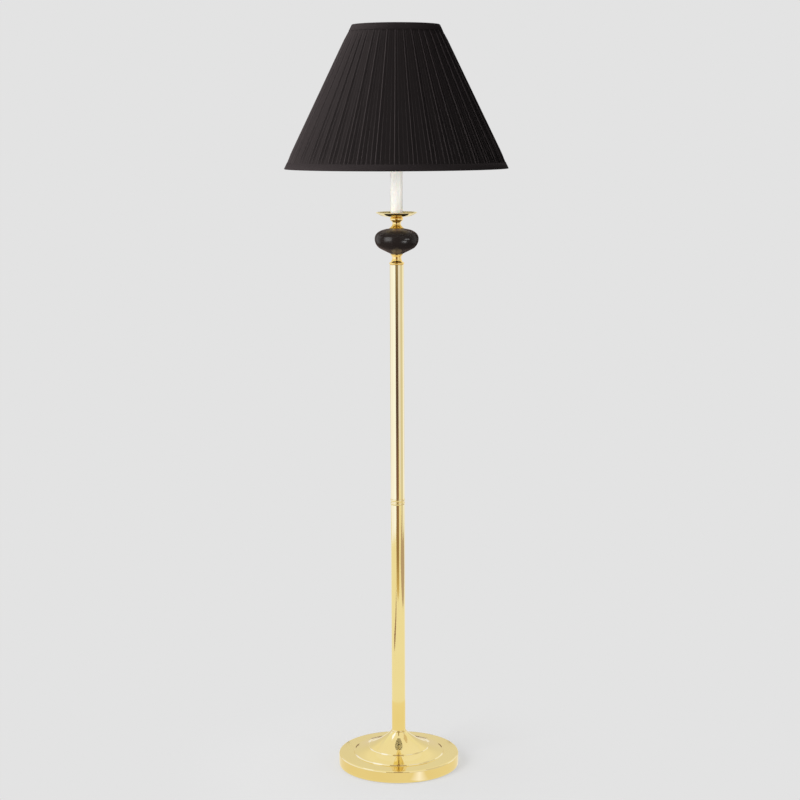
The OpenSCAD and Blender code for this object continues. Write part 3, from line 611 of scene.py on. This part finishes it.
# %% [markdown]
# ### Ease and chance
# Cloth changes slowly along a pleat. `smooth` eases a number in and out between 0 and 1, and
# `drift` gives a pleat a slow wander of its own.

# %% Slow changes
def smooth(x):
    x = min(max(x, 0.0), 1.0)
    return x * x * (3 - 2 * x)


def drift(dice, size):
    """A slow wander along a pleat, from its foot to its top."""
    a, b, c = (dice.uniform(-1, 1) for _ in range(3))
    return lambda t: size * (a * (1 - t) + b * t + c * math.sin(math.pi * t))


print("halfway, smooth gives", smooth(0.5))


# %% [markdown]
# ## All pleats
# Each row of the mesh is the same strip, folded tighter as it rises. The folds are gathered in
# threes and fours. All of them stand out at the bottom, but at the top only the first of each
# gather does, and the rest lie under it, so the top shows broad ribs and the bottom fine ones.
# Under the tapes everything is pressed flat. Chance makes the pleats a little unequal, from a
# fixed seed.
#
# The sizes below say how far a fold stands out (LIFT), how deep one that doesn't stand out lies
# under its neighbours (SINK), and how the pressed ends are set flush with the tapes (FLUSH). The
# cloth comes free of the press a few millimetres inside each tape (FREE_FROM) and stands at its
# full height about 3 cm further on (FREE_LOW, FREE_HIGH).

# %% Fold the cloth
ROWS, SEED = 30, 11
GATHERS = (3, 4, 4, 4)
LOW_STAND, HIGH_STAND = (1.0, 0.85, 0.35, 0.65), (1.0, 0.25, 0.1, 0.15)
PLEAT_DEPTH, TOP_LOSS, CLOTH_ROOM = 0.0024, 0.61, 0.0004
LIFT, SINK, FLUSH, GATHER_PACE = 0.0017, 0.75, 0.04, 1.3
WANDER, SMALLEST, LARGEST = 0.08, 0.85, 1.1
TAPE, EDGE_GAP, UNDER_TAPE = 0.0007, 0.0008, 0.0001
FREE_FROM, FREE_LOW, FREE_HIGH = 0.004, 0.032, 0.030


def cover_mesh():
    dice = random.Random(SEED)
    wander = [drift(dice, WANDER) for _ in range(PLEATS)]
    order = []
    while len(order) < PLEATS:
        order += range(dice.choice(GATHERS))
    size = [dice.uniform(SMALLEST, LARGEST) for _ in range(PLEATS)]
    low, high = SHADE_LOW + EDGE_GAP, SHADE_HIGH - EDGE_GAP
    points, folds = [], []
    for row in range(ROWS + 1):
        t = row / ROWS
        z = low + (high - low) * t
        crest = shade_radius(z) - ACROSS * (TAPE + UNDER_TAPE)
        pitch = 2 * math.pi * crest / PLEATS
        free = (smooth((z - SHADE_LOW - FREE_FROM) / FREE_LOW)
                * smooth((SHADE_HIGH - z - FREE_FROM) / FREE_HIGH))
        full = PLEAT_DEPTH * (1 - TOP_LOSS * t) + CLOTH_ROOM
        for i in range(PLEATS):
            low_stand, high_stand = LOW_STAND[order[i]], HIGH_STAND[order[i]]
            stand = size[i] * (low_stand + (high_stand - low_stand) * smooth(GATHER_PACE * t))
            lift = (LIFT * stand * free - SINK * full * (1 - min(stand, 1.0))
                    - FLUSH * full * (1 - free))
            start = i * pitch + wander[i](t) * pitch
            for along, under, fold in pleat_section(pitch, full + lift):
                radius = crest + lift - under
                angle = (start + along) / crest
                points.append((radius * math.cos(angle), radius * math.sin(angle), z))
                folds.append(fold * min(stand, 1.0))
    per_row = len(points) // (ROWS + 1)
    faces = [(a + i, a + (i + 1) % per_row, b + (i + 1) % per_row, b + i)
             for row in range(ROWS) for a, b in [(row * per_row, (row + 1) * per_row)]
             for i in range(per_row)]
    data = mesh_from("pleated_cover", points, faces)
    # Weight of the painted highlight at each point: 1 on a fold that stands out, 0 between the
    # folds.
    data.attributes.new("painted_fold_highlight", "FLOAT", "POINT").data.foreach_set("value", folds)
    return data, per_row


cover_data, per_row = cover_mesh()
foot = [cover_data.vertices[i].co for i in range(per_row)]
cloth_used = sum((b - a).length for a, b in zip(foot, foot[1:] + foot[:1]))
print("cloth round the bottom:", round(1000 * cloth_used), "mm in", PLEATS, "pleats")


# %% [markdown]
# ### The cloth's finish
# Fine black cloth isn't flat black: it has a soft shine, and a plain weave that shows close up.
# The weave runs with the cloth, so it uses a UV map that holds the real distances along the strip
# and down it. The folds that stand out are painted paler than the cloth between them, a painted
# highlight along the ribs. The mesh carries a number for that, 1 on a fold that stands out and 0
# between the folds.

# %% Cloth finishes
WAVE_LENGTH, SLUB_SCALE, THREAD_RELIEF = 0.314, 160.0, 0.06


def woven(name, low, high, thread, turn=0.0, fold_highlight_colour=None):
    """A plain weave of threads this wide: two sets of waves, across each other. Blender's wave of
    scale 1 is WAVE_LENGTH long. The noise is the slub of the yarn."""
    material, tree = new_tree(name)
    strip = add(tree, "UVMap", uv_map="strip").outputs[0]
    if turn:
        strip = add(tree, "VectorRotate", {"Vector": strip, "Angle": turn},
                    rotation_type="Z_AXIS").outputs[0]
    bands = [add(tree, "TexWave", {"Vector": strip, "Scale": WAVE_LENGTH / thread,
                                   "Distortion": 0.6, "Detail": 1.0, "Detail Scale": 0.4},
                 wave_type="BANDS", bands_direction=way).outputs[0] for way in "XY"]
    weave = add(tree, "Math", {0: bands[0], 1: bands[1]}, operation="MULTIPLY").outputs[0]
    slub = noise(tree, even(tree, SLUB_SCALE), detail=4.0, roughness=0.7)
    tone = add(tree, "Math", {0: slub, 1: weave}, operation="ADD").outputs[0]
    tone = add(tree, "Math", {0: tone, 1: 0.5}, operation="MULTIPLY").outputs[0]
    colour = between(tree, tone, low, high)
    # Painted highlight: the colour is mixed towards a paler one on the folds that stand out.
    if fold_highlight_colour:
        fold = add(tree, "Attribute", attribute_name="painted_fold_highlight").outputs["Fac"]
        colour = add(tree, "MixRGB", {0: fold, 1: colour, 2: (*fold_highlight_colour, 1)}).outputs[0]
    shader = add(tree, "BsdfPrincipled", {
        "Base Color": colour,
        "Roughness": between(tree, slub, 0.38, 0.46),
        "Normal": relief(tree, weave, thread * THREAD_RELIEF),
        "Sheen Weight": 0.01, "Sheen Roughness": 0.35, "Sheen Tint": (0.75, 0.65, 0.67, 1),
        "Specular IOR Level": 0.0})
    to_output(tree, shader)
    return material


# The third colour is the painted highlight on the folds.
pleated_cloth = woven("pleated_cloth", (0.0050, 0.0042, 0.0042), (0.0072, 0.0060, 0.0060),
                      thread=0.0004, fold_highlight_colour=(0.0118, 0.0099, 0.0100))
binding_tape = woven("binding_tape", (0.0064, 0.0053, 0.0054), (0.0094, 0.0078, 0.0079),
                     thread=0.0005, turn=math.pi / 4)
print("cloths:", pleated_cloth.name, binding_tape.name)


# %% [markdown]
# ### The cover goes on
# The strip gets its UV map in real metres and is placed over the lining. It takes the place of
# the plain cone and turns with the shade.

# %% Put the cover on
def strip_uv(data, across, along):
    layer = data.uv_layers.new(name="strip")
    for corner in data.loops:
        layer.data[corner.index].uv = (across[corner.vertex_index], along[corner.vertex_index])


slant = ACROSS * (SHADE_HIGH - SHADE_LOW - 2 * EDGE_GAP)
share = [(i % per_row) / per_row * CLOTH_WIDTH for i in range(len(cover_data.vertices))]
drop = [(i // per_row) / ROWS * slant for i in range(len(cover_data.vertices))]
strip_uv(cover_data, share, drop)
cover = new_object("pleated_cover", cover_data, pleated_cloth)
cloth_only.objects.link(cover)
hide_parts("shade_cover")
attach(cover, "shade")
print("cover:", len(cover_data.vertices), "points")


# %% [markdown]
# ## Binding tapes
# A woven tape is folded over each edge of the shade, round the frame's wire, and hides the ends
# of the pleats. It is a real strip with two faces, 0.7 mm thick where it is doubled, so it is
# lathed as a closed band with soft corners. Its path is drawn as radius and height, and the inner
# face is the same path moved in by the tape's thickness.

# %% Paths of a tape
def offset_path(path, distance):
    """The same path moved to its left."""
    moved = []
    for i, point in enumerate(path):
        into, out = max(i - 1, 0), min(i, len(path) - 2)
        before = Vector(path[into]) - Vector(path[into + 1])
        after = Vector(path[out]) - Vector(path[out + 1])
        normal = (before.normalized() + after.normalized()).normalized()
        moved.append((point[0] + distance * normal.y, point[1] - distance * normal.x))
    return moved


ARC_STEPS, MOST_OF_SIDE = 4, 0.45


def rounded(path, radius):
    """A path whose inner corners are turned into short arcs, which leave each side its middle."""
    soft = [path[0]]
    for i in range(1, len(path) - 1):
        here = Vector(path[i])
        into, out = (Vector(path[i - 1]) - here), (Vector(path[i + 1]) - here)
        a = here + into.normalized() * min(radius, into.length * MOST_OF_SIDE)
        b = here + out.normalized() * min(radius, out.length * MOST_OF_SIDE)
        for k in range(ARC_STEPS + 1):
            s = k / ARC_STEPS
            soft.append(tuple((1 - s) ** 2 * a + 2 * s * (1 - s) * here + s * s * b))
    return soft + [path[-1]]


def path_length(path):
    return sum(math.dist(a, b) for a, b in zip(path, path[1:]))


print("path tools ready")


# %% [markdown]
# ### Lathe the bands
# Turned round the axis, the path makes a band. A real tape is pulled by hand, so a few slow waves
# let its radius wander by about a tenth of a millimetre and keep it from looking machined.

# %% A tape band
TAPE_STEPS, SOFT_CORNER = 240, 0.0012
TAPE_WANDER, WAVES, WEAKEST, STRONGEST = 0.00012, (3, 7, 13, 29), 0.3, 1.0


def tape_band(name, path, seed):
    """A band lathed from its outer path, with its inner face one tape inside."""
    dice = random.Random(seed)
    waves = [(k, dice.uniform(0, 2 * math.pi), dice.uniform(WEAKEST, STRONGEST)) for k in WAVES]
    outer = rounded(path, SOFT_CORNER)
    ring = outer + offset_path(outer, TAPE)[::-1]
    lengths = [path_length(ring[:i + 1]) for i in range(len(ring))]
    points, across, along = [], [], []
    for i in range(TAPE_STEPS):
        angle = 2 * math.pi * i / TAPE_STEPS
        pull = TAPE_WANDER * sum(w * math.sin(k * angle + phase) for k, phase, w in waves)
        for (radius, z), length in zip(ring, lengths):
            pulled = radius - abs(pull)
            points.append((pulled * math.cos(angle), pulled * math.sin(angle), z))
            across.append(angle * path[0][0])
            along.append(length)
    n = len(ring)
    faces = []
    for i in range(TAPE_STEPS):
        here, there = i * n, (i + 1) % TAPE_STEPS * n
        faces += [(here + k, there + k, there + (k + 1) % n, here + (k + 1) % n) for k in range(n)]
    data = mesh_from(name, points, faces)
    strip_uv(data, across, along)
    band = new_object(name, data, binding_tape)
    cloth_only.objects.link(band)
    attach(band, "shade")
    return band, path_length(outer)


print("waves in a tape:", WAVES)

# %% [markdown]
# ### Both tapes
# The top tape comes up the outside, goes over the edge and 6 mm down inside the wire ring. The
# bottom tape goes the other way round.

# %% Put the tapes on
TAPE_H, TURN_IN = 0.013, 0.006
WIRE, WIRE_ROOM = 0.0032, 0.0004

top_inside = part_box("top_ring")[1].x - WIRE - WIRE_ROOM - TAPE
bottom_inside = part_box("bottom_ring")[1].x - WIRE - WIRE_ROOM - TAPE
top_path = [(shade_radius(SHADE_HIGH - TAPE_H), SHADE_HIGH - TAPE_H), (TOP_R, SHADE_HIGH),
            (top_inside, SHADE_HIGH), (top_inside, SHADE_HIGH - TURN_IN)]
bottom_path = [(bottom_inside, SHADE_LOW + TURN_IN), (bottom_inside, SHADE_LOW),
               (BOTTOM_R, SHADE_LOW), (shade_radius(SHADE_LOW + TAPE_H), SHADE_LOW + TAPE_H)]
for name, path, node, seed in (("top_tape", top_path, "top_trim", 3),
                               ("bottom_tape", bottom_path, "bottom_trim", 5)):
    band, width = tape_band(name, path, seed)
    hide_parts(node)

# %% [markdown]
# ## Felt
# A disc of green felt is glued under the iron, so that the lamp doesn't scratch the floor. It is
# cut from a sheet, so it is flat, with a soft edge where the knife pressed the fibres together.
# Felt has no weave: it is matted fibre, so its relief is a fine even noise with a soft sheen.

# %% The felt's finish
FIBRE_SCALE, FELT_CLOUD_SCALE, FIBRE_DEPTH = 2400.0, 60.0, 0.0004

green_felt, tree = new_tree("green_felt")
fibre = noise(tree, even(tree, FIBRE_SCALE), detail=6.0, roughness=0.8)
cloud = noise(tree, even(tree, FELT_CLOUD_SCALE))
to_output(tree, add(tree, "BsdfPrincipled", {
    "Base Color": between(tree, cloud, (0.012, 0.042, 0.022), (0.020, 0.060, 0.034)),
    "Roughness": between(tree, fibre, 0.85, 1.0), "Normal": relief(tree, fibre, FIBRE_DEPTH),
    "Sheen Weight": 0.4, "Sheen Roughness": 0.6}))
print("finish:", green_felt.name)

# %% [markdown]
# ### The disc
# Its section runs from near the axis along the underside, round the soft edge and back along the
# top. Turned round the axis it makes rings of faces, and one point below and one above close
# them.

# %% The felt disc
AROUND, EDGE_STEPS, EDGE_SHARE = 180, 6, 0.35
RINGS = (0.15, 0.4, 0.65, 0.85)

felt_low, felt_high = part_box("base_felt")
felt_r, felt_t = felt_high.x, felt_high.z - felt_low.z
soft_edge = EDGE_SHARE * felt_t
edge = [(felt_r - soft_edge * (1 - math.sin(a)), soft_edge * (1 - math.cos(a)))
        for a in (math.radians(90 / EDGE_STEPS * k) for k in range(EDGE_STEPS + 1))]
half = [(share * (felt_r - soft_edge), 0.0) for share in RINGS] + edge
section = half + [(radius, felt_t - rise) for radius, rise in half[::-1]]
points = [(radius * math.cos(a), radius * math.sin(a), felt_low.z + z)
          for a in (2 * math.pi * i / AROUND for i in range(AROUND)) for radius, z in section]
points += [(0, 0, felt_low.z), (0, 0, felt_high.z)]
n = len(section)
faces = []
for i in range(AROUND):
    j = (i + 1) % AROUND
    faces += [(i * n + k, j * n + k, j * n + k + 1, i * n + k + 1) for k in range(n - 1)]
    faces += [(len(points) - 2, j * n, i * n), (len(points) - 1, i * n + n - 1, j * n + n - 1)]
felt = new_object("felt_disc", mesh_from("felt_disc", points, faces), green_felt)
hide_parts("base_felt")
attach(felt, "stand")
print("felt:", round(2000 * felt_r), "mm across,", round(1000 * felt_t, 1), "mm thick")
